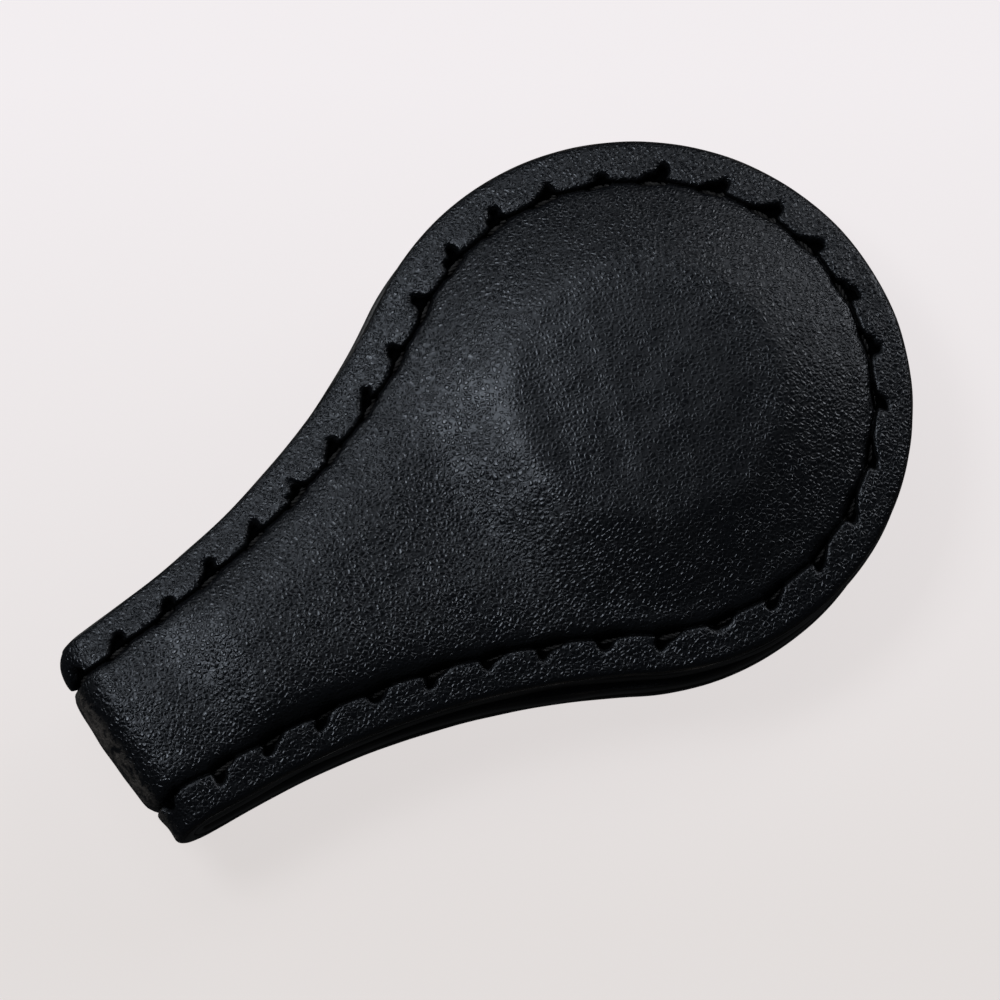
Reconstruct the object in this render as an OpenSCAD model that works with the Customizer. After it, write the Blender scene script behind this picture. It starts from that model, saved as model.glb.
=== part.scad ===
// Magnetic leather clip: a dumbbell-shaped strap folded in half, with a magnet sewn into each round end.
// The long axis is X, from the fold at -X to the tips at +X.  Z = 0 is the flat under the lower magnet.

/* [Leaf] */
// Radius of the round end
head_r = 20; // [16:0.5:26]
// Distance from the fold's centre line to the middle of the lower round end
reach = 41; // [36:0.5:60]
// How far the upper leaf's tip stands past the lower one's
leaf_offset = 1.2; // [0:0.1:2]
// Half width of the neck at the fold
neck_half_w = 8.2; // [6:0.1:10]
// Angle at which the neck's sides leave the fold
neck_flare = 4.3; // [2:0.1:8]
// Radius of the hollow flank between neck and round end
flank_r = 60; // [45:1:90]

/* [Leather] */
// Thickness of the face leather
face_t = 1.4; // [1:0.1:1.6]
// Thickness of the lining leather
lining_t = 1.2; // [0.8:0.1:1.4]
// Space between the closed leaves
leaf_gap = 0.3; // [0.1:0.05:0.4]
// Inner radius of the skived lining in the fold
fold_inner_r = 0.3; // [0.2:0.05:0.5]
// Number of stretches that the flexible fold is divided into
fold_parts = 4; // [4:1:4]

/* [Padding and magnets] */
// Radius of each magnet
magnet_r = 9; // [7:0.5:10]
// Thickness of each magnet
magnet_t = 2.5; // [2:0.5:3]
// Foam between magnet and face leather
foam_over_magnet = 0.8; // [0.5:0.1:1.5]
// Foam thickness along the middle of the neck
neck_foam = 0.9; // [0.6:0.1:1.2]

/* [Stitching] */
// Distance of the seam from the leather's edge
seam_inset = 2.7; // [2.2:0.1:3.2]
// Radius of the thread
thread_r = 0.26; // [0.2:0.02:0.3]
// Needle holes along one side of one leaf, the one in the fold included
side_holes = 18; // [12:1:24]

/* [Hidden] */
$fn = 48;
clearance = 0.03; // between pieces that move past each other, on each side
snug = 0.05;      // between soft pieces that fill each other
half_gap = leaf_gap / 2;
glue_z = half_gap + lining_t;      // where lining and face leather meet
border_z = glue_z + face_t;        // outside of the sewn border, and the fold's outer radius
foam_top_z = glue_z + magnet_t + foam_over_magnet;
dome_z = foam_top_z + face_t;      // flat top over the magnet
fold_r = border_z;
fold_x = -reach;
part_angle = 180 / fold_parts;

groove_half_w = 0.42;              // the thread lies in a groove of this half width
groove_depth = 0.5;
hole_r = 0.36;                     // needle hole
knot_r = thread_r + 0.06;          // thread bunched at a needle hole
bar_end = 0.1;                     // a bar stops this far from the hole's middle
pad_inset = seam_inset + groove_half_w + 0.1;  // the padded area ends just inside the seam
pad_wall = 0.9;                                // leather at the padding's side
pad_start = 1.8;                               // from the fold's centre line to the padding
pad_foot = 0.3 * face_t;                       // height over the glue at which the padding starts
ramp_length = 7.5;                             // over which it rises to its full height
crown_r = 60;          // the neck's padding is crowned across its width
dome_foot = 0.35;      // depth below the crown at which the dome's slope ends
slope_r = 15.6;        // radius at which it ends
plateau_r = magnet_r - 0.9;
slope_steps = 10;
arc_step = 2.5;        // degrees between outline points
past = 1;              // a cutter reaches this far past what it cuts
wide = 80;             // more than the clip's length, for shapes that are cut to size

// ---- Outline: neck line, hollow flank arc and round end, seen from the middle of the round end ----

// The neck's side is the line of neck_point(x, 0).  The flank's centre is flank_r outside it,
// and head_r + flank_r from the middle of the round end.
neck_x = -reach - leaf_offset;
neck_tan = tan(neck_flare);
flank_line = neck_half_w - neck_tan * neck_x + flank_r / cos(neck_flare);
flank_a = 1 + neck_tan * neck_tan;
flank_b = 2 * neck_tan * flank_line;
flank_c = flank_line * flank_line - pow(head_r + flank_r, 2);
flank_x = (-flank_b - sqrt(flank_b * flank_b - 4 * flank_a * flank_c)) / (2 * flank_a);
flank_y = neck_tan * flank_x + flank_line;
flank_start = neck_flare - 90;                  // direction from the flank's centre to the neck's side
flank_end = atan2(-flank_y, -flank_x);          // and to the round end
head_start = flank_end + 180;                   // direction from the middle to the flank

function steps(a, b) =
    let (n = max(1, ceil(abs(b - a) / arc_step)))
    [for (i = [0:n]) a + (b - a) * i / n];
function neck_point(x, inset) = [x, neck_half_w + neck_tan * (x - neck_x) - inset / cos(neck_flare)];
function flank_point(a, inset) = [flank_x, flank_y] + (flank_r + inset) * [cos(a), sin(a)];
function head_point(a, inset) = (head_r - inset) * [cos(a), sin(a)];
function side_points(x, inset) = concat(
    [neck_point(x, inset)],
    [for (a = steps(flank_start, flank_end)) flank_point(a, inset)],
    [for (a = steps(head_start, 0)) if (a < head_start && a > 0) head_point(a, inset)]);
function flipped(points) = [for (i = [len(points) - 1:-1:0]) [points[i][0], -points[i][1]]];

// Plan of one leaf, inset from its edge, starting start mm from the fold's centre line.
module leaf_plan(inset, shift, start = clearance) {
    side = side_points(fold_x - shift + start, inset);
    translate([shift, 0])
        polygon(concat(side, [[head_r - inset, 0]], flipped(side)));
}

// ---- Seam: places of the needle holes, by length along the seam from the fold's outermost line ----

seam_fold_l = PI * fold_r / 2;
function seam_neck_l(shift) =
    norm(flank_point(flank_start, seam_inset) - neck_point(fold_x - shift, seam_inset));
seam_flank_l = (flank_r + seam_inset) * (flank_end - flank_start) * PI / 180;
seam_head_l = (head_r - seam_inset) * head_start * PI / 180;
function seam_l(shift) = seam_fold_l + seam_neck_l(shift) + seam_flank_l + seam_head_l;
function pitch(shift) = seam_l(shift) / side_holes;

// A point of the seam, l mm past the fold's centre line.
function seam_point(l, shift) =
    let (neck_l = seam_neck_l(shift))
    l < neck_l ?
        let (a = neck_point(fold_x - shift, seam_inset), b = flank_point(flank_start, seam_inset))
        a + (b - a) * l / neck_l :
    l < neck_l + seam_flank_l ?
        flank_point(flank_start + (l - neck_l) / (flank_r + seam_inset) * 180 / PI, seam_inset) :
        head_point(head_start - (l - neck_l - seam_flank_l) / (head_r - seam_inset) * 180 / PI, seam_inset);

function leaf_holes(shift) =
    let (one = [for (k = [2:side_holes]) seam_point((k - 0.5) * pitch(shift) - seam_fold_l, shift)])
    [for (p = concat(one, flipped(one))) p + [shift, 0]];
first_hole_angle = (seam_fold_l - pitch(0) / 2) / fold_r * 180 / PI; // of the needle hole in the fold
fold_seam_y = neck_half_w - seam_inset;

// ---- Bodies: the upper leaf as drawn, the lower one mirrored below it ----

module upper() { translate([0, 0, dome_z]) children(); }
module lower() { translate([0, 0, dome_z]) mirror([0, 0, 1]) children(); }

// ---- Face leather ----

function slope_z(i, top, foot) = foot + (top - foot) * (0.5 + 0.5 * cos(180 * i / slope_steps));

// Dome over the magnet, down to foot_z.
module dome(top_z, foot_z, flat_r, outer_r) {
    rotate_extrude($fn = 72)
        polygon(concat(
            [[0, glue_z], [0, top_z]],
            [for (i = [0:slope_steps])
                [flat_r + (outer_r - flat_r) * i / slope_steps, slope_z(i, top_z, foot_z)]],
            [[outer_r, glue_z]]));
}

// Crowned padding along the neck, ramped towards the fold.
module neck_crown(top_z, start) {
    intersection() {
        translate([start, 0, top_z - crown_r]) rotate([0, 90, 0])
            cylinder(r = crown_r, h = wide, center = true, $fn = 180);
        ramp_r = ramp_length * ramp_length / (2 * (top_z - glue_z - pad_foot));
        union() {
            translate([start + ramp_length, 0, top_z + snug - ramp_r])
                rotate([90, 0, 0]) cylinder(r = ramp_r, h = wide, center = true, $fn = 180);
            translate([start + ramp_length, -wide / 2, 0]) cube(wide);
        }
    }
}

module padding(extra_t, inset, shift, start) {
    neck_top = glue_z + neck_foam + extra_t;
    intersection() {
        translate([0, 0, glue_z]) linear_extrude(dome_z) leaf_plan(inset, shift, start);
        union() {
            neck_crown(neck_top, fold_x + start);
            translate([shift, 0, 0]) dome(foam_top_z + extra_t, neck_top - dome_foot, plateau_r, slope_r);
        }
    }
}

module seam_holes(shift, low, high) {
    for (p = leaf_holes(shift))
        translate([p[0], p[1], low]) cylinder(r = hole_r, h = high - low, $fn = 24);
}

module seam_groove(shift, low, high) {
    translate([0, 0, low]) linear_extrude(high - low)
        difference() {
            leaf_plan(seam_inset - groove_half_w, shift, 0);
            leaf_plan(seam_inset + groove_half_w, shift, -past);
        }
}

module face_leather(shift) {
    color([0.11, 0.12, 0.14])
    difference() {
        union() {
            translate([0, 0, glue_z]) linear_extrude(face_t) leaf_plan(0, shift);
            padding(face_t, pad_inset, shift, pad_start);
        }
        translate([0, 0, -snug]) padding(2 * snug, pad_inset + pad_wall, shift, pad_start + pad_wall);
        seam_groove(shift, border_z - groove_depth, border_z + past);
        seam_holes(shift, glue_z - past, border_z);
    }
}

// ---- Lining ----

module lining(shift) {
    color([0.09, 0.10, 0.11])
    difference() {
        translate([0, 0, half_gap]) linear_extrude(lining_t) leaf_plan(0, shift);
        seam_groove(shift, half_gap - past, half_gap + 2 * thread_r + clearance);
        seam_holes(shift, 0, glue_z + past);
    }
}

// ---- Padding and magnet ----

module foam_pad(shift) {
    color([0.25, 0.25, 0.27])
    difference() {
        padding(0, pad_inset + pad_wall + snug, shift, pad_start + pad_wall + snug);
        translate([shift, 0, glue_z - past])
            cylinder(r = magnet_r + snug, h = magnet_t + past + snug, $fn = 96);
    }
}

module magnet(shift) {
    color([0.72, 0.72, 0.74])
        translate([shift, 0, glue_z]) cylinder(r = magnet_r, h = magnet_t, $fn = 96);
}

// ---- Thread: a bar from hole to hole, held at each hole by a leg that goes down into it ----

module bar(a, b, z) {
    d = b - a;
    translate([a[0], a[1], z]) rotate([0, 0, atan2(d[1], d[0])]) rotate([0, 90, 0])
        translate([0, 0, bar_end]) cylinder(r = thread_r, h = norm(d) - 2 * bar_end, $fn = 16);
}

module thread(shift, z, leg_z) {
    holes = leaf_holes(shift);
    top_z = z + (z > leg_z ? knot_r : -knot_r);
    for (p = holes)
        translate([p[0], p[1], min(top_z, leg_z)]) cylinder(r = knot_r, h = abs(top_z - leg_z), $fn = 16);
    for (i = [0:len(holes) - 2]) bar(holes[i], holes[i + 1], z);
    // both ends run on towards the fold
    for (p = [holes[0], holes[len(holes) - 1]]) bar([fold_x, sign(p[1]) * fold_seam_y], p, z);
}

needle_z = border_z - groove_depth + thread_r + clearance;
bobbin_z = half_gap + thread_r;

module needle_thread(shift) { color([0.05, 0.05, 0.06]) thread(shift, needle_z, glue_z + clearance); }
module bobbin_thread(shift) { color([0.05, 0.05, 0.06]) thread(shift, bobbin_z, glue_z - clearance); }

// ---- Fold: stretches of a half ring around the fold's centre line, part 1 next to the lower leaf ----

// A radial slice of the half ring, kept clear of its neighbours.
module fold_slice(k, inner, outer) {
    a0 = 270 - (k - 1) * part_angle;
    a1 = a0 - part_angle;
    far = outer * 2;
    difference() {
        circle(r = outer, $fn = 96);
        circle(r = inner);
        translate(clearance * [cos(a0 - 90), sin(a0 - 90)]) rotate(a0)
            translate([-far, 0]) square([2 * far, 2 * far]);
        translate(clearance * [cos(a1 + 90), sin(a1 + 90)]) rotate(a1)
            translate([-far, -2 * far]) square([2 * far, 2 * far]);
    }
}

module on_fold() { translate([fold_x, 0, dome_z]) rotate([90, 0, 0]) children(); }

module face_leather_fold(k) {
    color([0.11, 0.12, 0.14]) on_fold()
    difference() {
        linear_extrude(2 * neck_half_w, center = true) fold_slice(k, glue_z, fold_r);
        for (s = [-1, 1]) translate([0, 0, s * fold_seam_y])
            rotate_extrude($fn = 96) translate([fold_r - groove_depth, -groove_half_w])
                square([groove_depth + past, 2 * groove_half_w]);
    }
}

module lining_fold(k) {
    color([0.09, 0.10, 0.11]) on_fold()
        linear_extrude(2 * neck_half_w, center = true) fold_slice(k, fold_inner_r, glue_z);
}

module needle_thread_fold(k) {
    color([0.05, 0.05, 0.06]) on_fold()
    for (s = [-1, 1]) translate([0, 0, s * fold_seam_y]) intersection() {
        rotate_extrude($fn = 96) translate([needle_z, 0]) circle(r = thread_r, $fn = 24);
        linear_extrude(4 * thread_r, center = true) fold_slice(k, glue_z, fold_r + past);
    }
}

lower() face_leather(0);  // face_leather_lower
lower() lining(0);  // lining_lower
lower() foam_pad(0);  // foam_pad_lower
lower() magnet(0);  // magnet_lower
lower() needle_thread(0);  // needle_thread_lower
lower() bobbin_thread(0);  // bobbin_thread_lower
upper() face_leather(leaf_offset);  // face_leather_upper
upper() lining(leaf_offset);  // lining_upper
upper() foam_pad(leaf_offset);  // foam_pad_upper
upper() magnet(leaf_offset);  // magnet_upper
upper() needle_thread(leaf_offset);  // needle_thread_upper
upper() bobbin_thread(leaf_offset);  // bobbin_thread_upper
for (k = [1:fold_parts]) {
    face_leather_fold(k);
    lining_fold(k);
    needle_thread_fold(k);
}
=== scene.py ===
import math

import bpy
import numpy as np
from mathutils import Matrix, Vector


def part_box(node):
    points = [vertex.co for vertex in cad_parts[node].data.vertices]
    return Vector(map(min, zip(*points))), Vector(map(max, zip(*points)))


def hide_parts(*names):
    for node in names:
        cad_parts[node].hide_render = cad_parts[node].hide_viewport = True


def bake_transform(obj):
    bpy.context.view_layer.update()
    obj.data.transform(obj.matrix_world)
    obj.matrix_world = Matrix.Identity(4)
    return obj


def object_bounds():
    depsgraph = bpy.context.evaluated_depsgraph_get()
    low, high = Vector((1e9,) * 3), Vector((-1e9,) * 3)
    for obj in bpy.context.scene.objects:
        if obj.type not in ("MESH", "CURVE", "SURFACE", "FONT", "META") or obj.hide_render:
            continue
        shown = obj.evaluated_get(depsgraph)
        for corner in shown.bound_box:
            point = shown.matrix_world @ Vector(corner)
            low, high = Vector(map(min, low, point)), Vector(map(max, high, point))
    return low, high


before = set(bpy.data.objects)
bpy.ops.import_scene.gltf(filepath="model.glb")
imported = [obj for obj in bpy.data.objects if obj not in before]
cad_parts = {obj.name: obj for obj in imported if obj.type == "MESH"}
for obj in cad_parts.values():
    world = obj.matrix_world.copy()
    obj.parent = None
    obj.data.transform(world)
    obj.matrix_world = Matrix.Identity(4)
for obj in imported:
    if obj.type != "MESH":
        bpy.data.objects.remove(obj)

cad_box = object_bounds()

# ---- Sizes in millimetres, as in the CAD ----

MM = 0.001
HEAD_R = 20.0        # round end
REACH = 41.0         # fold's centre line to the middle of the lower round end
OFFSET = 1.2         # the upper leaf stands this far past the lower one
NECK_W = 8.2         # half width at the fold
FLARE = math.radians(4.3)      # the neck's sides open at this angle
FLANK_R = 60.0       # hollow curve from the neck to the round end
FACE_T = 1.4         # face leather
LINING_T = 1.2
HALF_GAP = 0.15      # from the middle plane to each lining
GLUE = HALF_GAP + LINING_T     # where lining and face leather meet, above the middle plane
BORDER = GLUE + FACE_T         # outside of the border above the middle plane, and the fold's outer radius
MID = (cad_box[0][2] + cad_box[1][2]) / 2 / MM      # height of the middle plane
CLEAR = 0.03         # the CAD's upper leaf stops this far short of the fold
FOLD_X = round(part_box("face_leather_upper")[0][0] / MM - CLEAR, 2)
SEAM = 2.74          # seam to edge
CREASE = SEAM + 0.1  # bottom of the sewn crease to edge, between the needle holes
DRIFT = 0.6          # most that the seam runs further in on the +Y side
HOLES = 18           # needle holes along one side of one leaf
ROLL_L = BORDER * math.pi / 2  # quarter turn round the fold
ROLL_RAYS = 36       # rays in that quarter turn
MAGNET_R = 9.0
PAD_AT = (1.0, -0.3)      # middle of the padding's flat top, which sits a little to one side
PAD_R = 8.9               # its radius

# ---- Outline: the neck's straight side, the hollow flank tangent to it, and the round end ----

TAN = math.tan(FLARE)
neck_x = -REACH - OFFSET
# the flank's centre is where the line FLANK_R outside the neck's side meets the circle round the round end
line0 = NECK_W - TAN * neck_x + FLANK_R / math.cos(FLARE)
qa = 1 + TAN * TAN
qb = 2 * TAN * line0
qc = line0 ** 2 - (HEAD_R + FLANK_R) ** 2
flank_x = (-qb - math.sqrt(qb * qb - 4 * qa * qc)) / (2 * qa)
flank_y = TAN * flank_x + line0
flank_a0 = FLARE - math.pi / 2
flank_a1 = math.atan2(-flank_y, -flank_x)
head_a0 = flank_a1 + math.pi


def smooth(t):
    """From 0 to 1 with level ends."""
    t = np.clip(t, 0, 1)
    return t * t * (3 - 2 * t)


def ramp_up(t, corner=0.18):
    """From 0 to 1 in a straight line whose two corners are rounded."""
    t = np.clip(t, 0, 1)
    low = np.minimum(t, corner)
    high = np.minimum(1 - t, corner)
    middle = np.clip(t - corner, 0, 1 - 2 * corner)
    return (0.5 * low * low / corner + middle + 0.5 * corner - 0.5 * high * high / corner) / (1 - corner)


def side_rays(fold_x):
    """Rays from one side's edge to the leaf's spine: edge point, inward direction and length, from the fold's
    outermost line to the tip.  x runs on flat round the fold, and is 0 in the middle of the round end."""
    neck_step = 0.16
    arc_step = 0.17
    u = np.linspace(0, ROLL_L, ROLL_RAYS + 1)[:-1]
    w_fold = NECK_W + TAN * (fold_x - neck_x)
    roll = np.column_stack([fold_x - ROLL_L + u, NECK_W + (w_fold - NECK_W) * u / ROLL_L, 0 * u])
    neck_end = flank_x + FLANK_R * math.cos(flank_a0)
    x = np.linspace(fold_x, neck_end, int((neck_end - fold_x) / neck_step) + 2)[:-1]
    neck = np.column_stack([x, NECK_W + TAN * (x - neck_x), FLARE * smooth((x - fold_x) / 2.5)])
    a = np.linspace(flank_a0, flank_a1, int(FLANK_R * (flank_a1 - flank_a0) / arc_step) + 2)[:-1]
    flank = np.column_stack([flank_x + FLANK_R * np.cos(a), flank_y + FLANK_R * np.sin(a), a + math.pi / 2])
    b = np.linspace(head_a0, 0, int(HEAD_R * head_a0 / arc_step) + 2)
    head = np.column_stack([np.cos(b), np.sin(b)])
    strap = np.vstack([roll, neck, flank])      # x, y and the edge's direction
    turn = strap[:, 2]
    edge = np.vstack([strap[:, :2], HEAD_R * head])
    normal = np.vstack([np.column_stack([np.sin(turn), -np.cos(turn)]), -head])
    length = np.concatenate([strap[:, 1] / np.cos(turn), np.full(len(head), HEAD_R)])
    return edge, normal, length


def strap_rays(shift):
    """Both sides of one leaf, from the fold round the tip and back.  along is the seam's length up to each
    ray, and drift is how much further in the seam runs there."""
    edge, normal, length = side_rays(FOLD_X - shift)
    seam = edge + SEAM * normal
    along = np.concatenate([[0], np.cumsum(np.linalg.norm(np.diff(seam, axis=0), axis=1))])
    flip = np.array([1, -1])
    edge = np.vstack([edge, edge[-2::-1] * flip])
    normal = np.vstack([normal, normal[-2::-1] * flip])
    length = np.concatenate([length, length[-2::-1]])
    pitch = along[-1] / HOLES
    along = np.concatenate([along, along[-2::-1]])
    side = np.concatenate([np.ones(len(seam)), -np.ones(len(seam) - 1)])
    share = along / along.max()
    drift = np.where(side > 0, DRIFT * smooth((share - 0.15) / 0.3) * smooth((1 - share) / 0.3), 0)
    return dict(edge=edge, normal=normal, length=length, along=along, side=side, pitch=pitch, n=len(seam),
                shift=shift, drift=drift)


def to_space(x, y, h, half, shift):
    """The place of flat x, y and the height h above the border's surface, once the strap is folded."""
    x = x + shift
    over = np.clip(FOLD_X - x, 0, None) / BORDER
    r = BORDER + h
    px = np.where(over > 0, FOLD_X - r * np.sin(over), x)
    pz = np.where(over > 0, r * np.cos(over), r)
    return np.stack([px, y, MID + half * pz], -1)


def wobble(x, y, z, wavelength, seed, n=14):
    """Smooth unevenness between about -1 and 1."""
    rng = np.random.default_rng(seed)
    out = 0
    for _ in range(n):
        k = rng.normal(size=3)
        k *= 2 * math.pi / (wavelength * rng.uniform(0.7, 1.6)) / np.linalg.norm(k)
        out = out + np.sin(k[0] * x + k[1] * y + k[2] * z + rng.uniform(0, 2 * math.pi))
    return out / math.sqrt(n)


# ---- Shape of the padded face ----

# distances from the edge of the skin's rows, closest where it curves most: at the rounded edge and the crease
ROWS = [0.012, 0.05, 0.1, 0.17, 0.26, 0.37, 0.5, 0.68, 0.9, 1.15, 1.4, 1.62, 1.82, 2.0, 2.15, 2.28, 2.39,
        2.49, 2.58, 2.66, 2.74, 2.82, 2.9, 2.98, 3.07, 3.17, 3.28, 3.42, 3.6, 3.85]
SPINE_ROWS = 34      # rows between the last of these and the spine
EDGE_ROUND = 0.5     # width of the rounded edge


def pad_shape(x, y, q, half_w):
    """Height of the padding under the face, before the cloth settles.  q is the distance inside the seam and
    half_w the seam's distance from the spine."""
    # dome: from its foot inside the seam up to the rim of the flat top
    r = np.hypot(x, y)
    back = smooth((-x / np.maximum(r, 1e-6) - 0.72) / 0.28)
    top = np.hypot(x - PAD_AT[0], y - PAD_AT[1]) / PAD_R
    outer = np.clip(17.2 - 0.8 * back - r, 0, None)
    inner = PAD_R * np.clip(top - 1, 0, None)
    t = outer / np.maximum(outer + inner, 1e-6)
    crown = 0.3 * (1 - np.clip(top, 0, 1) ** 2)
    dome = 0.2 * smooth(q / 5) + 2.4 * ramp_up(t) + crown
    # neck: fullest near the fold, fading out under the dome, with the steeper flank on the -Y side
    across = np.clip(np.abs(y) / np.maximum(half_w, 1), 0, 1)
    from_fold = 0.1 + 0.9 * smooth((x + 39.2) / 5.8)
    to_dome = 1 - 0.5 * smooth((x + 34) / 19)
    under_dome = smooth((-6 - x) / 9 + 0.5)
    neck = 1.25 * (1 - across ** np.where(y < 0, 6, 4)) * (from_fold * to_dome * under_dome)
    foot = 0.34 * (1 - np.exp(-np.clip(q, 0, None) / 0.6))
    # the higher of the two, with a soft join
    return foot + 0.5 * (neck + dome + np.sqrt((neck - dome) ** 2 + 0.12)) - 0.12


SETTLE_ROWS = 15


def settle(rays):
    """Cloth pulled over the padding: how far it moves from the shape it starts in, on a coarse grid."""
    rows = SETTLE_ROWS
    last = len(rays["edge"]) - 1
    pick = np.append(np.arange(ROLL_RAYS, rays["n"] - 1, 7), rays["n"] - 1)
    pick = np.unique(np.concatenate([pick, last - pick]))
    f = np.linspace(0, 1, rows)
    length = rays["length"][pick, None]
    d = CREASE + (length - CREASE) * f
    p = rays["edge"][pick, None] + d[..., None] * rays["normal"][pick, None]
    start = pad_shape(p[..., 0], p[..., 1], d - CREASE, length - SEAM)
    flat = np.concatenate([p, 0.92 * start[..., None]], -1).reshape(-1, 3)      # pressure swells it
    _, first, inverse = np.unique(np.round(flat[:, :2], 4), axis=0, return_index=True, return_inverse=True)
    inverse = inverse.reshape(-1)
    corner = inverse.reshape(len(pick), rows)
    faces = []
    for i in range(len(pick) - 1):
        for j in range(rows - 1):
            loop = [corner[i, j], corner[i, j + 1], corner[i + 1, j + 1], corner[i + 1, j]]
            loop = [int(v) for n, v in enumerate(loop) if v != loop[n - 1]]
            if len(loop) > 2:
                faces.append(loop)
    scale = 20 * MM      # twenty times its size, where the solver is steady
    mesh = bpy.data.meshes.new("settling")
    mesh.from_pydata((flat[first] * scale).tolist(), [], faces)
    cloth = bpy.data.objects.new("settling", mesh)
    bpy.context.collection.objects.link(cloth)
    r = np.hypot(flat[first, 0] - PAD_AT[0], flat[first, 1] - PAD_AT[1])
    held = 0.85 * (1 - smooth((r - 6.5) / 3))
    rim = np.zeros(len(first))
    rim[corner[:, 0]] = 1
    rim[flat[first, 0] < FOLD_X - rays["shift"] + 0.5] = 1
    group = cloth.vertex_groups.new(name="held")
    for n, w in enumerate(np.maximum(held, rim)):
        group.add([n], float(w), "REPLACE")
    mod = cloth.modifiers.new("Cloth", "CLOTH")
    mod.settings.quality = 6
    mod.settings.mass = 0.3
    mod.settings.tension_stiffness = 12
    mod.settings.compression_stiffness = 12
    mod.settings.shear_stiffness = 6
    mod.settings.bending_stiffness = 1.5
    mod.settings.vertex_group_mass = "held"
    mod.settings.use_pressure = True
    mod.settings.uniform_pressure_force = 4
    mod.settings.effector_weights.gravity = 0
    last_frame = 20
    mod.point_cache.frame_start = 1
    mod.point_cache.frame_end = last_frame
    for number in range(1, last_frame + 1):
        bpy.context.scene.frame_set(number)
    result = cloth.evaluated_get(bpy.context.evaluated_depsgraph_get()).to_mesh()
    co = np.array([v.co for v in result.vertices]) / scale
    most = 0.6
    moved = np.clip(co[:, 2] - flat[first, 2], -most, most)[corner]
    bpy.data.objects.remove(cloth)
    bpy.data.meshes.remove(mesh)
    bpy.context.scene.frame_set(1)
    return pick, moved


def spread(rays, pick, moved, d):
    """The settled movement on every ray and row, by cubic steps along the ray."""
    rows = moved.shape[1]
    m = len(rays["edge"])
    wide = np.column_stack([np.interp(np.arange(m), pick, moved[:, j]) for j in range(rows)])
    f = np.clip((d - CREASE) / (rays["length"][:, None] - CREASE), 0, 1) * (rows - 1)
    j = np.clip(f.astype(int), 0, rows - 2)
    t = f - j
    a, b, c, e = (np.take_along_axis(wide, np.clip(j + k, 0, rows - 1), 1) for k in (-1, 0, 1, 2))
    return b + 0.5 * t * (c - a + t * (2 * a - 5 * b + 4 * c - e + t * (3 * (b - c) + e - a)))


def hole_gap(rays, d):
    """Distance along the seam to the nearest needle hole, and that hole's number."""
    s = np.broadcast_to(rays["along"][:, None], d.shape)
    number = np.clip(np.floor(s / rays["pitch"]), 0, HOLES - 1).astype(int)
    return (s - (number + 0.5) * rays["pitch"]) * rays["side"][:, None], number


def place(rays, d):
    """Points d in from the edge along each ray.  SEAM is the seam, even where the seam runs further in."""
    drift, length = rays["drift"][:, None], rays["length"][:, None]
    d = d + drift * np.clip(np.minimum(d / SEAM, (length - d) / (length - SEAM)), 0, 1)
    p = rays["edge"][:, None] + d[..., None] * rays["normal"][:, None]
    return p[..., 0], p[..., 1]


def uneven(rays, x, y, half, wavelength, seed):
    """wobble() on one leaf, the same on both leaves' sides of the fold's outermost line."""
    x = x + rays["shift"]
    return wobble(x, y, half * 3 * smooth((x - FOLD_X + ROLL_L) / 4), wavelength, seed)


def border_height(d, q, near):
    """The border outside the crease: a rounded edge, fuller between the stitches, and the crease's side."""
    t = np.clip(1 - d / EDGE_ROUND, 0, 1)
    border = -0.42 * (1 - np.sqrt(np.clip(1 - t * t, 0, 1))) - 0.22 * np.clip(2.5 - d, 0, None)
    border = border + 0.07 * (1 - near) * np.exp(-((d - 2.1) / 0.55) ** 2) - 0.05 * np.exp(-(d / 0.9) ** 2)
    return border - groove_depth(near) * np.clip(1 + q / 0.24, 0, 1) ** 1.5


def groove_depth(near):
    return 0.38 + 0.1 * near


def padded_height(pad, q, near, gap, pitch):
    """The padding's leather inside the crease: steep at first, and gathered a little between the stitches."""
    groove = groove_depth(near)
    rise = smooth(q / 0.3)
    inside = -groove + (pad + groove) * (0.55 * rise + 0.45 * np.clip(q / 0.8, 0, 1) ** 0.6)
    pucker = 0.05 * np.cos(2 * math.pi * gap / pitch) * np.exp(-np.clip(q, 0, None) / 1.3) * rise
    return inside - pucker


def needle_pit(along, out, q, reach, ragged):
    """The mark of a slanted stitch, from 0 to 1: a pit that widens along the seam and ends sharply.  along is
    measured from the hole, out from the crease, and reach is how far out it goes at its widest."""
    edge = reach * np.clip((along + 1.8) / 1.7, 0, 1) + ragged
    starts = smooth((along + 2.2) / 1.2)
    ends = smooth((0.5 + ragged - along) / 0.35)
    pit = starts * ends * (1 - smooth((out - edge + 0.28) / 0.42))
    return pit * np.where(q > 0, np.exp(-(q / 0.3) ** 2), 1)


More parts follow.
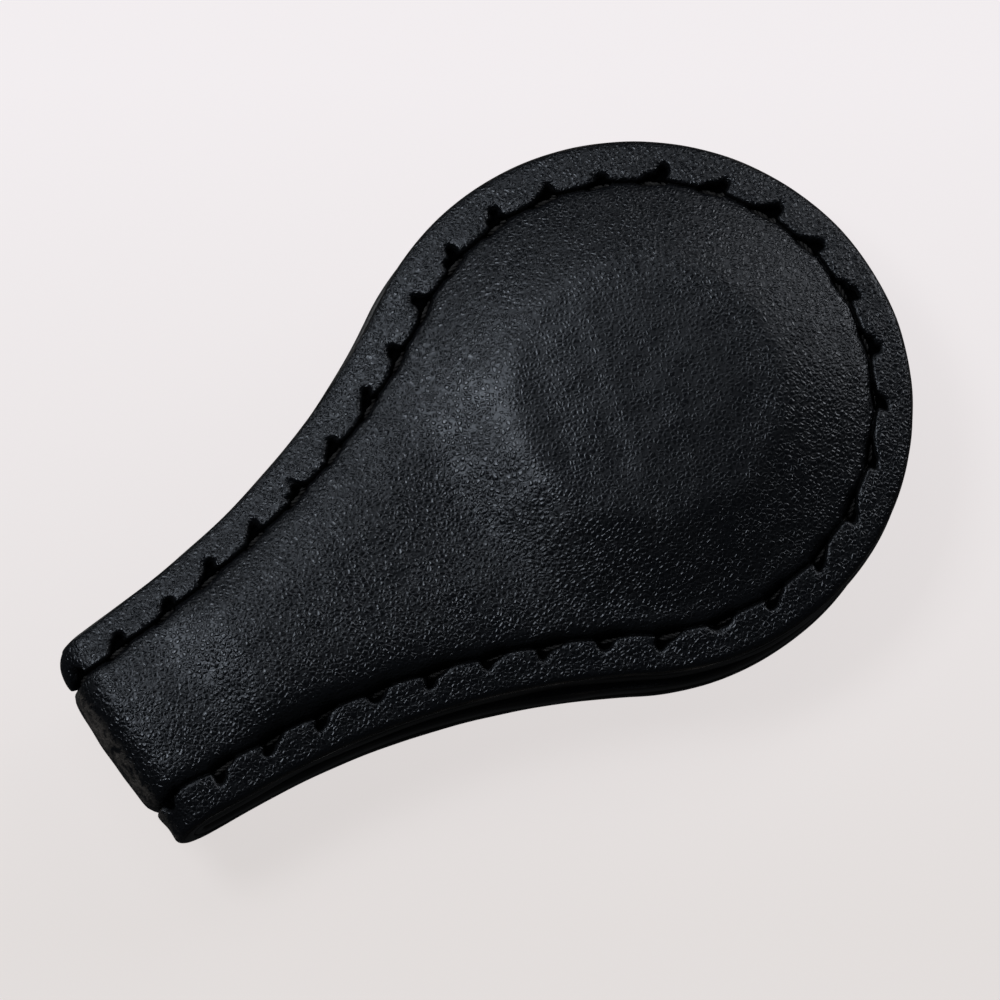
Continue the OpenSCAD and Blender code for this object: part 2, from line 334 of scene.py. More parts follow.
def top_height(rays, d, moved, seed, half):
    """Height of the face leather's grain side above the border's surface, and how far each point is inside a
    needle hole or the crease, from 0 to 1, which the leather paints as shade."""
    x, y = place(rays, d)
    gap, number = hole_gap(rays, d)
    rng = np.random.default_rng(seed)
    which = number + HOLES * (rays["side"][:, None] < 0)
    reach = (0.86 + 0.1 * rng.normal(size=2 * HOLES))[which]
    nudge = (0.1 * rng.normal(size=2 * HOLES))[which]
    deep = (1 + 0.15 * rng.normal(size=2 * HOLES))[which]
    near = np.exp(-(gap / 0.9) ** 2)
    crease = CREASE - 0.16 * near
    q = d - crease
    pad = pad_shape(x, y, q, rays["length"][:, None] - SEAM) + 0.5 * moved
    h = np.where(q < 0, border_height(d, q, near), padded_height(pad, q, near, gap, rays["pitch"]))
    ragged = 0.12 * uneven(rays, x, y, half, 0.9, 3)
    pit = needle_pit(gap - nudge, crease - d, q, reach, ragged)
    thinnest = 0.2
    h = np.maximum(h - 0.75 * deep * pit, thinnest - FACE_T)
    # soft unevenness
    big = uneven(rays, x, y, half, 11, 1)
    small = uneven(rays, x, y, half, 2.6, 2)
    h = h + (0.05 * big + 0.014 * small) * smooth(q / 1.5)
    h = h + (0.02 * big + 0.012 * small) * smooth(-q / 0.4) * smooth(d / 0.6)
    # the second value is the painted shade for the needle holes and the crease
    return h, np.clip(pit + 0.7 * np.exp(-((q + 0.05) / 0.15) ** 2), 0, 1)


def fold_push(rays, d, h):
    """Round the fold the border stands out a little, more on the -Y side, and the middle lies back."""
    x = place(rays, d)[0] + rays["shift"]
    bend = 1 - smooth((x - (FOLD_X - ROLL_L)) / (ROLL_L * 0.9))
    side = rays["side"][:, None]
    ridge = (0.27 - 0.04 * side) * np.exp(-((d - 0.8 - 0.4 * side) / 1.1) ** 2)
    rim = 0.2 * side * np.exp(-(d / 0.6) ** 2)
    return h + bend * (ridge - rim - 0.1 * smooth((d - 2.2) / 1.2))


# ---- Meshes ----

GRAIN, FLESH, CUT_EDGE = range(3)      # a skin's material slots
LINING_SPINE_ROWS = 26


def profile_grid(rays, d, h, half):
    """The points of one leaf's skin: rays by rows, in metres.  Both sides meet exactly on the spine."""
    x, y = place(rays, d)
    grid = to_space(x, y, h, half, rays["shift"]) * MM
    for row in (0, -1):
        grid[:, row] = (grid[:, row] + grid[::-1, row]) / 2
        grid[:, row, 1] = 0
        middle = rays["length"] == HEAD_R
        grid[middle, row] = grid[middle, row].mean(0)
    return grid


def spine_rows(rays, first, count):
    """count rows on every ray from just past first to the spine."""
    f = np.arange(1, count + 1) / count
    return first + (rays["length"][:, None] - first) * f


def face_grid(rays, half, settled, seed):
    """The face leather's section on every ray, from the flesh side's spine round the edge to the grain's."""
    m = len(rays["edge"])
    flat = np.array(ROWS) * np.ones((m, 1))
    d = np.hstack([flat, spine_rows(rays, ROWS[-1], SPINE_ROWS)])
    moved = spread(rays, settled[0], settled[1], d)
    h, painted_hole_shade = top_height(rays, d, moved, seed, half)
    h = fold_push(rays, d, h)
    x, y = place(rays, d)
    wave = 0.04 * uneven(rays, x[:, :1], y[:, :1], half, 5, 5)
    # the cut edge, from the flesh side up
    wall = np.array([0.3, 0.1, 0.02, -0.02, -0.035, -0.03, -0.015])
    wall_d = wall * np.ones((m, 1)) + wave * [0, 0.4, 0.8, 1, 1, 0.7, 0.4]
    wall = np.array([-FACE_T, -FACE_T + 0.01, -FACE_T + 0.07, -FACE_T + 0.2, -FACE_T + 0.45, -0.75, -0.56])
    wall_h = wall * np.ones((m, 1))
    to_top = h[:, :1] - wall_h[:, -1:]
    wall_h = wall_h + to_top * np.array([0, 0, 0, 0.05, 0.2, 0.5, 0.75])
    # the flesh side, glued down in the border and over the padding inside it
    under_d = spine_rows(rays, 3.9, 12)[:, ::-1]
    under_moved = spread(rays, settled[0], settled[1], under_d)
    under_h = np.maximum(-FACE_T, top_height(rays, under_d, under_moved, seed, half)[0] - FACE_T - 0.05)
    under_h[:, -1] = -FACE_T
    d = np.hstack([under_d, np.full((m, 1), 1.5), wall_d, d])
    h = np.hstack([under_h, np.full((m, 1), -FACE_T), wall_h, h])
    kind = np.array([FLESH] * 13 + [CUT_EDGE] * 9 + [GRAIN] * (len(ROWS) + SPINE_ROWS - 2))
    painted_hole_shade = np.hstack([np.zeros((m, d.shape[1] - painted_hole_shade.shape[1])), painted_hole_shade])
    return profile_grid(rays, d, h, half), kind, painted_hole_shade


def lining_grid(rays, half):
    """The lining's section on every ray, from its inner side's spine round the edge to the glued side's."""
    m = len(rays["edge"])
    rows = [0.4, 0.7, 1.1, 1.5, 1.8, 2.05, 2.25, 2.38, 2.48, 2.57, 2.66, 2.74, 2.82, 2.91, 3.0, 3.1, 3.23,
            3.4, 3.7]
    d = np.hstack([np.array(rows) * np.ones((m, 1)), spine_rows(rays, rows[-1], LINING_SPINE_ROWS)])
    x, y = place(rays, d)
    gap, _ = hole_gap(rays, d)
    # the seam's furrow and needle holes
    q = np.abs(d - SEAM)
    near = np.exp(-(gap / 0.8) ** 2)
    sink = (0.2 + 0.1 * near) * np.exp(-(q / (0.27 + 0.06 * near)) ** 2)
    sink = sink + 0.5 * np.exp(-(np.abs(gap) / 0.5) ** 4 - (q / 0.24) ** 2)
    # the magnet's disc shows through
    r = np.hypot(x, y)
    disc = 0.07 * (1 - smooth((r - MAGNET_R + 0.3) / 1.1))
    soft = 0.02 * uneven(rays, x, y, half, 7, 11) * smooth((d - 3) / 2)
    # round the fold the lining opens into a small loop
    fold_x = FOLD_X - rays["shift"]
    over = np.clip(fold_x - x, 0, None) / BORDER
    level = HALF_GAP + 0.4 * np.sin(np.clip(over, 0, math.pi / 2)) ** 2
    depth = level + sink * (1 - 0.5 * smooth(over / 0.5)) - (disc + soft) * smooth((x - fold_x) / 2)
    h = np.maximum(depth, 0.04) - BORDER
    depth0 = h[:, :1] + BORDER
    wall = np.array([0.22, 0.1, 0.02, -0.02, -0.02, 0.02, 0.1, 0.25])
    share = np.array([0.005, 0.04, 0.14, 0.35, 0.65, 0.9, 0.985, 1])
    wave = 0.04 * uneven(rays, x[:, :1], y[:, :1], half, 6, 12)
    wall_d = wall * np.ones((m, 1)) + wave * [0, 0.4, 0.8, 1, 1, 0.8, 0.4, 0]
    wall_h = depth0 - BORDER + share * (GLUE - depth0)
    back_d = np.hstack([np.full((m, 1), 1.5), np.full((m, 1), 4.0), spine_rows(rays, 4.0, 4)])
    back_rows = back_d.shape[1]
    back_h = np.full((m, back_rows), GLUE - BORDER)
    d = np.hstack([d[:, ::-1], wall_d, back_d])
    h = np.hstack([h[:, ::-1], wall_h, back_h])
    kind = np.array([GRAIN] * (len(rows) + LINING_SPINE_ROWS) + [CUT_EDGE] * len(wall) + [FLESH] * back_rows)
    return profile_grid(rays, d, h, half), kind, np.zeros(d.shape)


def half_faces(n_side, rows, half):
    """Quads between neighbouring rays and rows of one leaf, with the ray, counted from the fold, and row."""
    m = 2 * n_side - 1
    i, j = np.meshgrid(np.arange(m - 1), np.arange(rows - 1), indexing="ij")
    i, j = i.ravel(), j.ravel()
    quads = np.column_stack([i * rows + j, i * rows + j + 1, (i + 1) * rows + j + 1, (i + 1) * rows + j])
    if half < 0:
        quads = quads[:, ::-1]
    return quads, np.minimum(i, m - 2 - i), j


def weld(points, quads):
    """Joins points that lie on each other.  Also gives the first of each kept point's old numbers."""
    close = 1e-7
    key = np.round(points / close).astype(np.int64)
    _, first, inverse = np.unique(key, axis=0, return_index=True, return_inverse=True)
    return points[first], inverse.reshape(-1)[quads], first


def vertex_normals(points, quads):
    """Normals of the whole skin, so that its pieces meet without a visible line."""
    a = points[quads[:, 2]] - points[quads[:, 0]]
    b = points[quads[:, 3]] - points[quads[:, 1]]
    n = np.cross(a, b)
    out = np.zeros_like(points)
    for k in range(4):
        np.add.at(out, quads[:, k], n)
    return out / np.maximum(np.linalg.norm(out, axis=1, keepdims=True), 1e-20)


def make_mesh(name, points, quads, materials, slots=None, normals=None, painted_hole_shade=None):
    """An object of the points that quads use, without faces that have collapsed.  Two point attributes go to
    the
    materials: rest, the place when closed, and painted_hole_shade, how deep in a needle hole or the crease,
    which the leather paints as shade."""
    used, inverse = np.unique(quads, return_inverse=True)
    inverse = inverse.reshape(quads.shape)
    faces, kept = [], []
    for n, q in enumerate(inverse.tolist()):
        loop = [v for k, v in enumerate(q) if v != q[k - 1]]
        if len(loop) > 2 and len(set(loop)) == len(loop):
            faces.append(loop)
            kept.append(n)
    mesh = bpy.data.meshes.new(name)
    mesh.from_pydata(points[used].tolist(), [], faces)
    for m in materials:
        mesh.materials.append(m)
    if slots is not None:
        mesh.polygons.foreach_set("material_index", np.asarray(slots)[kept].astype(np.int32))
    mesh.polygons.foreach_set("use_smooth", np.ones(len(faces), bool))
    mesh.update()
    rest = mesh.attributes.new("rest", "FLOAT_VECTOR", "POINT")
    rest.data.foreach_set("vector", points[used].astype(np.float32).ravel())
    # the painted shade for the needle holes and the crease rides along as a point attribute
    if painted_hole_shade is not None:
        mesh.attributes.new("painted_hole_shade", "FLOAT", "POINT").data.foreach_set("value", painted_hole_shade[used].astype(np.float32))
    if normals is not None:
        mesh.normals_split_custom_set_from_vertices(normals[used].tolist())
    obj = bpy.data.objects.new(name, mesh)
    bpy.context.collection.objects.link(obj)
    return obj


# ---- The bodies' stretches: which of three pieces each part of the strap goes to ----

CUT = ROLL_RAYS // 2     # the ray at the middle of each of the fold's two bodies, 45 degrees round
PIECES = ["lower", "fold", "upper"]


def stretch_of(ray, half):
    """0 for the lower leaf's piece, 1 for the fold's and 2 for the upper leaf's, by the ray's number."""
    return 1 + np.where(ray < CUT, 0, 1) * half


def bend(piece, number, radius):
    """Bakes piece's transform into its mesh, without bending it.  radius, the innermost that has to meet the
    next, is not used.
    """
    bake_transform(piece)


def make_skins(name, grids, materials, radius, nodes):
    """Cuts the whole strap's skin into its three pieces, bakes each one's transform and hides the CAD nodes
    it stands for.
    """
    points, quads, stretch, kinds, hole_shade_parts = [], [], [], [], []
    total = 0
    grids[-1][0][[0, -1]] = grids[1][0][[0, -1]]    # both leaves share the fold's outermost line
    for half, (grid, kind, painted_hole_shade) in grids.items():
        rows = grid.shape[1]
        q, ray, row = half_faces((len(grid) + 1) // 2, rows, half)
        points.append(grid.reshape(-1, 3))
        quads.append(q + total)
        stretch.append(stretch_of(ray, half))
        kinds.append(kind[row])
        hole_shade_parts.append(painted_hole_shade.reshape(-1))
        total += grid.shape[0] * rows
    points, quads, first = weld(np.vstack(points), np.vstack(quads))
    # painted shade for the needle holes and the crease, for each kept point
    painted_hole_shade = np.concatenate(hole_shade_parts)[first]
    stretch, kinds = np.concatenate(stretch), np.concatenate(kinds)
    normals = vertex_normals(points, quads)
    out = []
    for number, label in enumerate(PIECES):
        mine = stretch == number
        piece = make_mesh(f"{name}_{label}", points, quads[mine], materials, kinds[mine], normals, painted_hole_shade)
        bend(piece, number, radius)
        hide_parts(*nodes[number])
        out.append(piece)
    return out


# ---- Thread ----

STRAND_AT = 0.115        # the three strands' centres are this far from the thread's middle
STRAND_R = 0.135
TWIST = 1.5              # length of one turn
SEAM_LINE = SEAM - 0.04  # the thread's middle to edge


def seam_place(rays, side, s):
    """The ray s mm along the seam on one side: the point SEAM out from the seam, and the inward direction."""
    n = rays["n"]
    along = rays["along"][:n]
    flip = np.array([1, side])
    drift = np.interp(s, along, rays["drift"][:n]) if side > 0 else np.zeros(len(s))
    edge = np.column_stack([np.interp(s, along, rays["edge"][:n, k]) for k in (0, 1)]) * flip
    normal = np.column_stack([np.interp(s, along, rays["normal"][:n, k]) for k in (0, 1)]) * flip
    return edge + drift[:, None] * normal, normal


def tube(path, radius, sides):
    """Rings of points round a path, as a grid of rings by sides, and the two directions across the path."""
    t = np.gradient(path, axis=0)
    t /= np.linalg.norm(t, axis=1, keepdims=True)
    up = np.tile([0.0, 0.0, 1.0], (len(path), 1))
    a = np.cross(up, t)
    flat = np.linalg.norm(a, axis=1) < 0.2
    a[flat] = np.cross([0.0, 1.0, 0.0], t[flat])
    a /= np.linalg.norm(a, axis=1, keepdims=True)
    b = np.cross(t, a)
    turn = np.linspace(0, 2 * math.pi, sides, endpoint=False)
    ring = a[:, None] * np.cos(turn)[:, None] + b[:, None] * np.sin(turn)[:, None]
    return path[:, None] + radius * ring, a, b


def twisted(path, phase):
    """Three strands wound round a path."""
    step = np.concatenate([[0], np.cumsum(np.linalg.norm(np.diff(path, axis=0), axis=1))])
    _, a, b = tube(path, 1, 3)
    out = []
    for k in range(3):
        w = 2 * math.pi * (k / 3 + step / TWIST) + phase
        centre = path + STRAND_AT * (a * np.cos(w)[:, None] + b * np.sin(w)[:, None])
        out.append(tube(centre, STRAND_R, 7)[0])
    return out


def stitch_height(level, deep, arch, to_hole):
    """A stitch's height: level, arched by up to 0.12 mm, and diving by deep near its hole, to_hole away."""
    return level + 0.12 * arch * np.sign(deep) * -1 + deep * np.exp(-(to_hole / 0.2) ** 2)


def stitch_path(rays, start, stop, side0, side1, half, level, deep, lean):
    """One stitch from the hole at start to the hole at stop, both lengths along the seam.  Where the sides
    differ, it goes over the tip."""
    n = 45
    t = np.linspace(0, 1, n)
    if side0 == side1:
        s = start + (stop - start) * t
        side = np.full(n, side0)
    else:
        top = rays["along"][rays["n"] - 1]
        s = start + (2 * top - start - stop) * t
        side = np.where(s > top, side1, side0)
        s = np.where(s > top, 2 * top - s, s)
    mark = rays["along"][CUT]
    if s.min() < mark < s.max():
        s[np.argmin(np.abs(s - mark))] = mark
    edge, normal = np.zeros((n, 2)), np.zeros((n, 2))
    for one in (side0, side1):
        mine = side == one
        if mine.any():
            edge[mine], normal[mine] = seam_place(rays, one, s[mine])
    d = SEAM_LINE + lean * (2 * t - 1)
    h = stitch_height(level, deep, np.sin(math.pi * t), np.minimum(t, 1 - t) * rays["pitch"])
    p = edge + d[:, None] * normal
    return to_space(p[:, 0], p[:, 1], h, half, rays["shift"]), s


def over_fold_path(leaves, side, level, deep, lean):
    """The stitch over the fold's outermost line on one side, half of it on each leaf's rays."""
    parts = []
    for half in (-1, 1):
        rays = leaves[half]
        s = np.linspace(0, 0.5 * rays["pitch"], 24)
        edge, normal = seam_place(rays, side, s)
        d = SEAM_LINE + lean * s / s[-1] * half
        p = edge + d[:, None] * normal
        h = stitch_height(level, deep, np.cos(0.5 * math.pi * s / s[-1]), s[-1] - s)
        parts.append(to_space(p[:, 0], p[:, 1], h, half, rays["shift"]))
    return np.vstack([parts[0][::-1], parts[1][1:]])


def strand_quads(rings, sides):
    """Quads of one strand, and the ring that each starts from."""
    i, j = np.meshgrid(np.arange(rings - 1), np.arange(sides), indexing="ij")
    i, j = i.ravel(), j.ravel()
    over = (j + 1) % sides
    return np.column_stack([i * sides + j, i * sides + over, (i + 1) * sides + over, (i + 1) * sides + j]), i


def make_threads(name, leaves, level, deep, lean, material, radius, nodes):
    """All the stitches of one side of the strap, cut into the same pieces as the leather."""
    stitches = []       # strands of each stitch, and the piece that each of its rings belongs to
    rng = np.random.default_rng(5)
    for half, rays in leaves.items():
        pitch = rays["pitch"]
        mark = rays["along"][CUT]
        jobs = [((k + 0.5) * pitch, (k + 1.5) * pitch, s, s) for s in (1, -1) for k in range(HOLES - 1)]
        jobs.append(((HOLES - 0.5) * pitch, (HOLES - 0.5) * pitch, 1, -1))
        for start, stop, s0, s1 in jobs:
            path, s = stitch_path(rays, start, stop, s0, s1, half, level, deep, lean * rng.uniform(0.6, 1.3))
            number = stretch_of(np.where(s < mark - 1e-6, 0, CUT), half)
            stitches.append((twisted(path, rng.uniform(0, 6)), number))
    for side in (1, -1):
        path = over_fold_path(leaves, side, level, deep, lean)
        stitches.append((twisted(path, 1.0 + side), np.ones(len(path), int)))
    points, quads, stretch = [], [], []
    total = 0
    for strands, number in stitches:
        for grid in strands:
            rings, sides = grid.shape[:2]
            q, ring = strand_quads(rings, sides)
            points.append(grid.reshape(-1, 3))
            quads.append(q + total)
            stretch.append(number[ring])
            total += rings * sides
    points, quads, stretch = np.vstack(points) * MM, np.vstack(quads), np.concatenate(stretch)
    for number, label in enumerate(PIECES):
        piece = make_mesh(f"{name}_{label}", points, quads[stretch == number], [material])
        bend(piece, number, radius)
        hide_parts(*nodes[number])


# ---- Materials ----

def node(tree, kind, **sockets):
    """A new node.  Names with _ for a space are its sockets' values, or else its properties."""
    n = tree.nodes.new(kind)
    for key, value in sockets.items():
        name = key.replace("_", " ")
        if name in n.inputs:
            n.inputs[name].default_value = value
        else:
            setattr(n, key, value)
    return n


def material(name, colour, rough, **principled):
    """A new material, its node tree and its shader."""
    mat = bpy.data.materials.new(name)
    mat.use_nodes = True
    mat.diffuse_color = (*colour, 1)
    tree = mat.node_tree
    shader = tree.nodes["Principled BSDF"]
    shader.inputs["Base Color"].default_value = (*colour, 1)
    shader.inputs["Roughness"].default_value = rough
    for key, value in principled.items():
        shader.inputs[key.replace("_", " ")].default_value = value
    return mat, tree, shader


def ramp(tree, source, low, high, a, b):
    """source from low to high becomes a to b."""
    n = node(tree, "ShaderNodeMapRange", From_Min=low, From_Max=high, To_Min=a, To_Max=b)
    tree.links.new(source, n.inputs["Value"])
    return n.outputs["Result"]


def mixed(tree, factor, a, b):
    """Colour a where factor is 0 and b where it is 1.  a may be a colour or a socket."""
    n = node(tree, "ShaderNodeMix", data_type="RGBA")
    colour_a, colour_b = n.inputs[6:8]
    if isinstance(a, tuple):
        colour_a.default_value = (*a, 1)
    else:
        tree.links.new(a, colour_a)
    colour_b.default_value = (*b, 1)
    tree.links.new(factor, n.inputs["Factor"])
    return n.outputs[2]


def add(tree, a, b, kind="ADD"):
    """a + b, or another operation on them.  Each may be a number or a socket."""
    n = node(tree, "ShaderNodeMath", operation=kind)
    for k, v in enumerate((a, b)):
        if isinstance(v, (int, float)):
            n.inputs[k].default_value = v
        else:
            tree.links.new(v, n.inputs[k])
    return n.outputs[0]


def rest_place(tree):
    """Coordinates that stay with the leather when it bends."""
    return node(tree, "ShaderNodeAttribute", attribute_name="rest").outputs["Vector"]


def noise(tree, at, scale, detail, rough=0.5):
    n = node(tree, "ShaderNodeTexNoise", Scale=scale, Detail=detail, Roughness=rough)
    tree.links.new(at, n.inputs["Vector"])
    return n


def bumpy(tree, shader, height, strength, depth):
    bump = node(tree, "ShaderNodeBump", Strength=strength, Distance=depth)
    tree.links.new(height, bump.inputs["Height"])
    tree.links.new(bump.outputs["Normal"], shader.inputs["Normal"])


def pebbles(tree, at, grain):
    """Rounded cells with creases between them, from 0 in a crease to 1, uneven in size."""
    warp = noise(tree, at, grain * 0.45, 2.0)
    shift = node(tree, "ShaderNodeVectorMath", operation="MULTIPLY_ADD")
    shift.inputs[1].default_value = (0.9 / grain,) * 3
    tree.links.new(warp.outputs["Color"], shift.inputs[0])
    tree.links.new(at, shift.inputs[2])
    cells = node(tree, "ShaderNodeTexVoronoi", Scale=grain, Randomness=1.0, feature="DISTANCE_TO_EDGE")
    tree.links.new(shift.outputs[0], cells.inputs["Vector"])
    pebble = ramp(tree, cells.outputs["Distance"], 0.0, 0.36, 0.0, 1.0)
    pebble.node.interpolation_type = "SMOOTHERSTEP"
    return pebble


def flattened(tree, at, height, taut):
    """The grain is pulled smoother over the padding's flat top."""
    away = node(tree, "ShaderNodeVectorMath", operation="MULTIPLY_ADD")
    away.inputs[1].default_value = (1, 1, 0)
    away.inputs[2].default_value = (-MM * PAD_AT[0], -MM * PAD_AT[1], 0)
    tree.links.new(at, away.inputs[0])
    far = node(tree, "ShaderNodeVectorMath", operation="LENGTH")
    tree.links.new(away.outputs[0], far.inputs[0])
    return add(tree, height, ramp(tree, far.outputs["Value"], 7.5 * MM, 12.5 * MM, 1 - taut, 1.0), "MULTIPLY")


def abraded_and_lit_fold(tree, at, wear_and_light):
    """How much lighter the leather is: the fold's outermost part, from the -Y edge to the +Y side's seam,
    with broken grain, abraded and also made lighter as painted light from the left on that face."""
    xyz = node(tree, "ShaderNodeSeparateXYZ")
    tree.links.new(at, xyz.inputs[0])
    rubbed = noise(tree, at, 1100.0, 5.0, 0.7).outputs["Fac"]
    ragged = ramp(tree, rubbed, 0.3, 0.7, -0.5 * MM, 0.5 * MM)
    x = add(tree, xyz.outputs[0], ragged)
    y = add(tree, xyz.outputs[1], ragged)
    outermost = ramp(tree, x, MM * (FOLD_X - 2.6), MM * (FOLD_X - 2.3), wear_and_light, 0.0)
    across = ramp(tree, y, 5.0 * MM, 5.6 * MM, 1.0, 0.0)
    lighter_tone = add(tree, outermost, across, "MULTIPLY")
    return add(tree, lighter_tone, ramp(tree, rubbed, 0.4, 0.6, 0.0, 1.0), "MULTIPLY")


def leather(name, dark, light, rough, grain, depth, wear_and_light=0.0, taut=0.0):
    """Pebbled leather over a soft unevenness of tone, with painted shade in the needle holes and the crease:
    black and dull there.
    """
    mat, tree, shader = material(name, dark, rough)
    shader.inputs["Specular Tint"].default_value = (0.82, 0.89, 1.0, 1)
    at = rest_place(tree)
    pebble = pebbles(tree, at, grain)
    fine = noise(tree, at, grain * 1.2, 1.0).outputs["Fac"]
    patches = noise(tree, at, 260.0, 4.0, 0.55).outputs["Fac"]
    height = add(tree, add(tree, pebble, 0.75, "MULTIPLY"), fine)
    if taut:
        height = flattened(tree, at, height, taut)
    bumpy(tree, shader, height, 1.0, depth)
    tone = add(tree, ramp(tree, patches, 0.3, 0.7, 0.0, 0.7), ramp(tree, pebble, 0.0, 1.0, 0.0, 0.3))
    colour = mixed(tree, tone, dark, light)
    roughness = add(tree, ramp(tree, patches, 0.3, 0.7, rough + 0.05, rough - 0.05),
                    ramp(tree, pebble, 0.0, 0.6, 0.12, 0.0))
    # painted shade: black and dull in the needle holes and the crease, where no light gets out
    painted_hole_shade = node(tree, "ShaderNodeAttribute", attribute_name="painted_hole_shade").outputs["Fac"]
    colour = mixed(tree, ramp(tree, painted_hole_shade, 0.1, 0.6, 0.0, 1.0), colour, (0.0008, 0.0008, 0.001))
    painted_shade_dull = ramp(tree, painted_hole_shade, 0.15, 0.75, 0.0, 0.95)
    tree.links.new(painted_shade_dull, shader.inputs["Metallic"])
    roughness = add(tree, roughness, add(tree, painted_shade_dull, 0.6, "MULTIPLY"))
    # the fold's abraded band, made lighter brown partly as painted light from the left
    if wear_and_light:
        lighter_tone = abraded_and_lit_fold(tree, at, wear_and_light)
        colour = mixed(tree, lighter_tone, colour, (0.13, 0.117, 0.106))
        roughness = add(tree, roughness, add(tree, lighter_tone, 0.3, "MULTIPLY"))
    tree.links.new(colour, shader.inputs["Base Color"])
    tree.links.new(roughness, shader.inputs["Roughness"])
    return mat


def edge_finish():
    """Painted leather edge: smoothed fibres in fine streaks along it, with brown rubbing through."""
    mat, tree, shader = material("painted_edge", (0.012, 0.0115, 0.0115), 0.42)
    at = rest_place(tree)
    stretch = node(tree, "ShaderNodeMapping")
    stretch.inputs["Scale"].default_value = (260, 260, 4200)
    tree.links.new(at, stretch.inputs["Vector"])
    streak = noise(tree, stretch.outputs[0], 1.0, 5.0, 0.65).outputs["Fac"]
    grit = noise(tree, at, 3200.0, 3.0).outputs["Fac"]
    lighter_tone = ramp(tree, streak, 0.52, 0.72, 0.0, 1.0)
    colour = mixed(tree, lighter_tone, (0.010, 0.0098, 0.010), (0.045, 0.038, 0.033))
    tree.links.new(colour, shader.inputs["Base Color"])
    bumpy(tree, shader, add(tree, streak, add(tree, grit, 0.4, "MULTIPLY")), 0.8, 0.07 * MM)
    tree.links.new(ramp(tree, lighter_tone, 0.0, 1.0, 0.4, 0.62), shader.inputs["Roughness"])
    return mat


def fibrous(name, dark, light, rough, scale, depth, bends=True):
    """Fine fuzz between two tones.  A piece that doesn't bend has no rest attribute."""
    mat, tree, shader = material(name, dark, rough)
    at = rest_place(tree) if bends else node(tree, "ShaderNodeTexCoord").outputs["Object"]
    fuzz = noise(tree, at, scale, 5.0, 0.7).outputs["Fac"]
    tree.links.new(mixed(tree, ramp(tree, fuzz, 0.35, 0.65, 0, 1), dark, light), shader.inputs["Base Color"])
    bumpy(tree, shader, fuzz, 0.9, depth)
    return mat


def plated():
    """Brushed nickel, for the magnets."""
    mat, tree, shader = material("nickel_plating", (0.62, 0.60, 0.57), 0.3, Metallic=1.0)
    at = node(tree, "ShaderNodeTexCoord").outputs["Object"]
    lines = node(tree, "ShaderNodeMapping")
    lines.inputs["Scale"].default_value = (300, 6000, 300)
    tree.links.new(at, lines.inputs["Vector"])
    brushed = noise(tree, lines.outputs[0], 1.0, 4.0).outputs["Fac"]
    tree.links.new(ramp(tree, brushed, 0.3, 0.7, 0.24, 0.4), shader.inputs["Roughness"])
    return mat


# the face leather's band round the fold is abraded and also carries painted light
face_skin = leather("black_grained_leather", dark=(0.0022, 0.0025, 0.0034), light=(0.004, 0.0047, 0.0064),
                    rough=0.25, grain=2900.0, depth=0.047 * MM, wear_and_light=0.9, taut=0.6)
lining_skin = leather("black_lining_leather", dark=(0.010, 0.0105, 0.012), light=(0.018, 0.0185, 0.020),
                      rough=0.6, grain=3600.0, depth=0.025 * MM)
edge_skin = edge_finish()
flesh_skin = fibrous("leather_flesh_side", dark=(0.02, 0.019, 0.019), light=(0.05, 0.046, 0.043),
                     rough=0.9, scale=2600.0, depth=0.06 * MM)
thread_skin = fibrous("waxed_black_thread", dark=(0.003, 0.003, 0.0035), light=(0.008, 0.008, 0.009),
                      rough=0.65, scale=9000.0, depth=0.03 * MM)
foam_skin = fibrous("grey_foam", dark=(0.05, 0.05, 0.055), light=(0.10, 0.10, 0.105),
                    rough=0.9, scale=3000.0, depth=0.08 * MM, bends=False)
magnet_skin = plated()


# ---- The clip ----

INNER = 0.34       # the lining's inner radius where the fold's pieces meet
shifts = {-1: 0.0, 1: OFFSET}      # the lower leaf and the upper one
leaves = {half: strap_rays(shift) for half, shift in shifts.items()}


def stretches(name):
    """The CAD nodes that each of the three pieces stands for."""
    return [[f"{name}_lower", f"{name}_fold_1"], [f"{name}_fold_2", f"{name}_fold_3"],
            [f"{name}_upper", f"{name}_fold_4"]]


face_grids, lining_grids = {}, {}
for half, rays in leaves.items():
    settled = settle(rays)
    face_grids[half] = face_grid(rays, half, settled, 20 + half)
    lining_grids[half] = lining_grid(rays, half)
face_skins = [face_skin, flesh_skin, edge_skin]        # in the order GRAIN, FLESH, CUT_EDGE
lining_skins = [lining_skin, flesh_skin, edge_skin]
lower_face, _, upper_face = make_skins("face_leather_skin", face_grids, face_skins, GLUE,
                                       stretches("face_leather"))
make_skins("lining_skin", lining_grids, lining_skins, INNER, stretches("lining"))
make_threads("needle_stitches", leaves, level=-0.98, deep=-0.32, lean=0.1, material=thread_skin,
             radius=GLUE, nodes=stretches("needle_thread"))
make_threads("bobbin_stitches", leaves, level=HALF_GAP - BORDER + 0.3, deep=0.8, lean=0.06,
             material=thread_skin, radius=INNER, nodes=[["bobbin_thread_lower"], [], ["bobbin_thread_upper"]])

for kind, skin in (("foam_pad", foam_skin), ("magnet", magnet_skin)):
    for leaf in ("lower", "upper"):
        for slot in bpy.data.objects[f"{kind}_{leaf}"].material_slots:
            slot.link = "OBJECT"
            slot.material = skin


# ---- Floor, light and camera ----

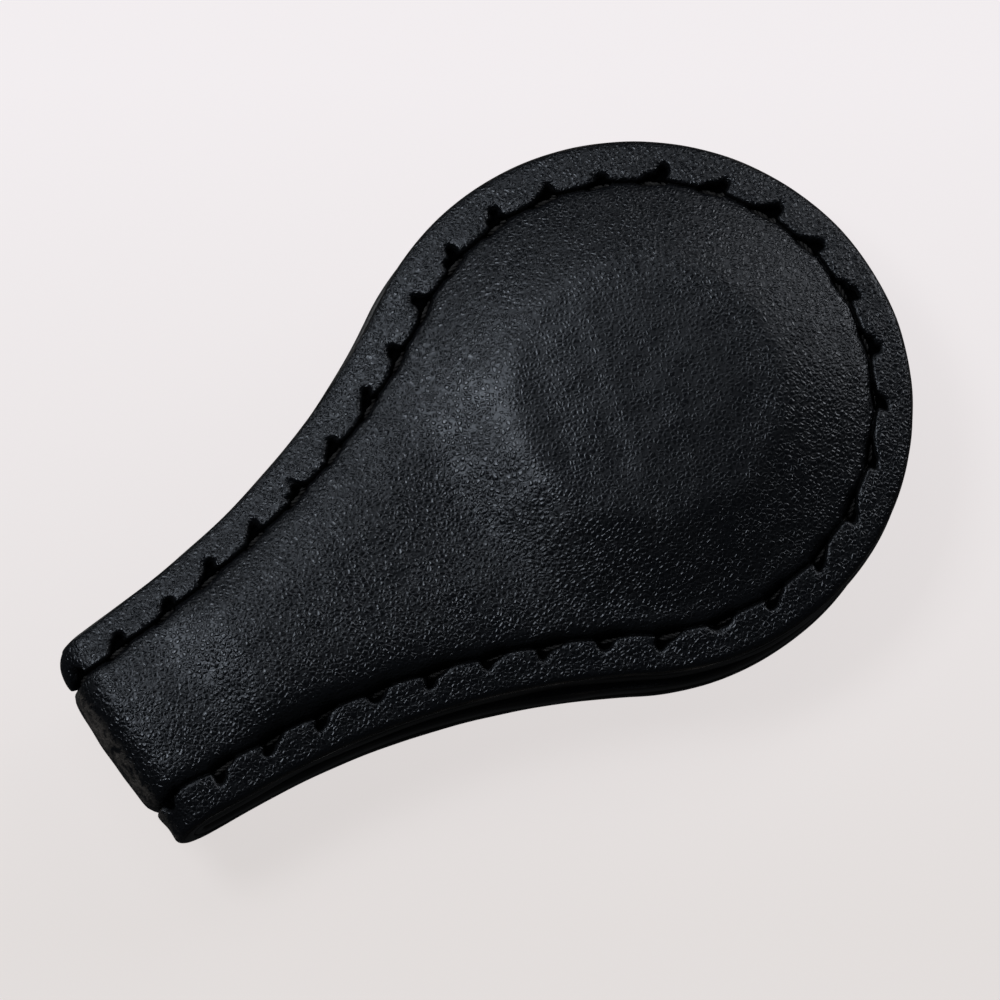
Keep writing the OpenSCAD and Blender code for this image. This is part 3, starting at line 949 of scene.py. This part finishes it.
AZIMUTH = math.radians(-34.2)
ELEVATION = math.radians(74)
DISTANCE = 0.6
VIEW_W = 0.0718        # width of the view at the clip
SENSOR_W = 36          # the camera's sensor, in millimetres
back = Vector((math.sin(AZIMUTH) * math.cos(ELEVATION), -math.cos(AZIMUTH) * math.cos(ELEVATION),
               math.sin(ELEVATION)))
right = Vector((math.cos(AZIMUTH), math.sin(AZIMUTH), 0))
up = back.cross(right)
aim = right * -0.0087 + up * -0.00395 + back * 0.0085
camera = bpy.data.objects.new("camera", bpy.data.cameras.new("camera"))
camera.data.sensor_width = SENSOR_W
camera.data.lens = SENSOR_W * DISTANCE / VIEW_W
camera.data.clip_start = 0.05
camera.location = aim + back * DISTANCE
camera.rotation_euler = back.to_track_quat("Z", "Y").to_euler()
bpy.context.collection.objects.link(camera)
bpy.context.scene.camera = camera


def floor_finish():
    """A pale floor with a soft change of tone across it.  It glows by itself and lights nothing."""
    mat, tree, shader = material("pale_floor", (0.2, 0.193, 0.193), 0.9)
    shader.inputs["Emission Strength"].default_value = 1.0
    across = node(tree, "ShaderNodeVectorMath", operation="DOT_PRODUCT")
    across.inputs[1].default_value = (0.562, 0.827, 0)
    tree.links.new(node(tree, "ShaderNodeTexCoord").outputs["Object"], across.inputs[0])
    share = ramp(tree, across.outputs["Value"], -0.036, 0.028, 0, 1)
    tone = mixed(tree, share, (0.68, 0.645, 0.632), (0.79, 0.755, 0.77))
    tree.links.new(tone, shader.inputs["Emission Color"])
    return mat


floor_mesh = bpy.data.meshes.new("floor")
floor_mesh.from_pydata([(-3, -3, 0), (3, -3, 0), (3, 3, 0), (-3, 3, 0)], [], [(0, 1, 2, 3)])
floor_mesh.materials.append(floor_finish())
floor = bpy.data.objects.new("floor", floor_mesh)
floor.visible_diffuse = False
floor.visible_glossy = False
bpy.context.collection.objects.link(floor)

COOL = (0.96, 0.98, 1.0)
NEUTRAL = (1.0, 0.99, 0.99)
BOX_SIZE = 0.36
BOX_FAR = 1.0          # from the clip to each softbox


def softbox(name, towards, power, colour):
    light = bpy.data.lights.new(name, "AREA")
    light.shape = "RECTANGLE"
    light.size = BOX_SIZE
    light.size_y = BOX_SIZE
    light.energy = power
    light.color = colour
    obj = bpy.data.objects.new(name, light)
    towards = Vector(towards).normalized()
    obj.location = towards * BOX_FAR
    obj.rotation_euler = towards.to_track_quat("Z", "Y").to_euler()
    bpy.context.collection.objects.link(obj)


softbox("key", (-0.31, 0.47, 0.83), 3.3, COOL)
softbox("top_back", (0.15, 0.57, 0.81), 0.7, COOL)
softbox("back_low", (-0.17, 0.96, 0.24), 0.6, COOL)
softbox("right_low", (0.97, 0.08, 0.24), 2.0, NEUTRAL)
softbox("right_high", (0.70, 0.40, 0.59), 0.7, NEUTRAL)
softbox("right_back", (0.84, 0.49, 0.24), 0.3, NEUTRAL)

world = bpy.data.worlds.new("studio")
world.use_nodes = True
world.node_tree.nodes["Background"].inputs["Color"].default_value = (0.9, 0.95, 1.0, 1)
world.node_tree.nodes["Background"].inputs["Strength"].default_value = 0.03
bpy.context.scene.world = world
bpy.context.scene.view_settings.view_transform = "Standard"
